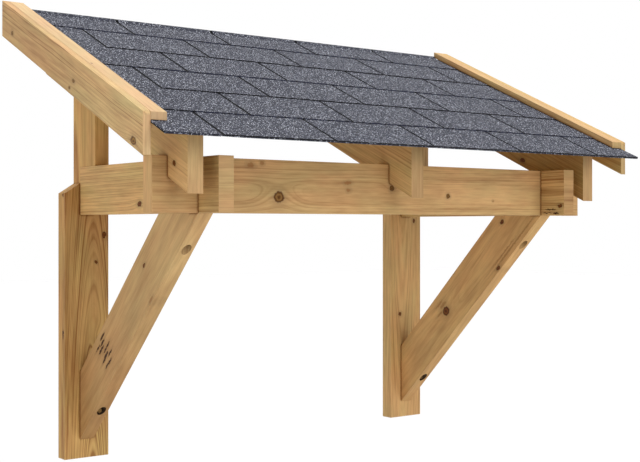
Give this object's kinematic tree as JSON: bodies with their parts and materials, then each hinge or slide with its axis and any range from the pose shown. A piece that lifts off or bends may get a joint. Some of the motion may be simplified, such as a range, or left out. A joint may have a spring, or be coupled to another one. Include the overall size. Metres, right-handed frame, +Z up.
{
  "type": "attached patio cover",
  "caption": "Small lean-to timber cover for a door or patio: braced wall brackets, front beam, rafters, boarded roof and shingles.",
  "frame": {"origin": "centre of the wall ledger's back face, in the plane of the wall", "axes": "+X along the wall to the right seen from the front, +Y into the wall, +Z up; the cover reaches out towards -Y"},
  "size_m": [1.738, 0.8871, 1.3246],
  "materials": {
    "planed_timber": "planed softwood with a honey stain",
    "planed_board": "planed softwood board with a honey stain",
    "deck_board": "planed softwood boarding",
    "screw_steel": "zinc plated, a little dulled",
    "roof_shingle": "bitumen felt with blue-grey mineral granules"
  },
  "bodies": {
    "root": {"wall_post_left": "planed_timber", "arm_left": "planed_timber", "brace_left": "planed_timber", "wall_strut_left": "planed_timber", "brace_foot_screw_left": "screw_steel", "brace_head_screw_left": "screw_steel", "rafter_left": "planed_timber", "bargeboard_left": "planed_board", "cover_batten_left": "planed_board", "wall_post_right": "planed_timber", "arm_right": "planed_timber", "brace_right": "planed_timber", "wall_strut_right": "planed_timber", "brace_foot_screw_right": "screw_steel", "brace_head_screw_right": "screw_steel", "rafter_right": "planed_timber", "bargeboard_right": "planed_board", "cover_batten_right": "planed_board", "front_beam": "planed_timber", "rafter_middle": "planed_timber", "wall_ledger": "planed_timber", "deck_board_1": "deck_board", "deck_board_2": "deck_board", "deck_board_3": "deck_board", "deck_board_4": "deck_board", "deck_board_5": "deck_board", "deck_board_6": "deck_board", "deck_board_7": "deck_board", "deck_board_8": "deck_board", "deck_board_9": "deck_board", "starter_strip": "roof_shingle", "shingle_course_1": "roof_shingle", "shingle_course_2": "roof_shingle", "shingle_course_3": "roof_shingle", "shingle_course_4": "roof_shingle", "shingle_course_5": "roof_shingle", "shingle_course_6": "roof_shingle"}
  },
  "joints": []
}
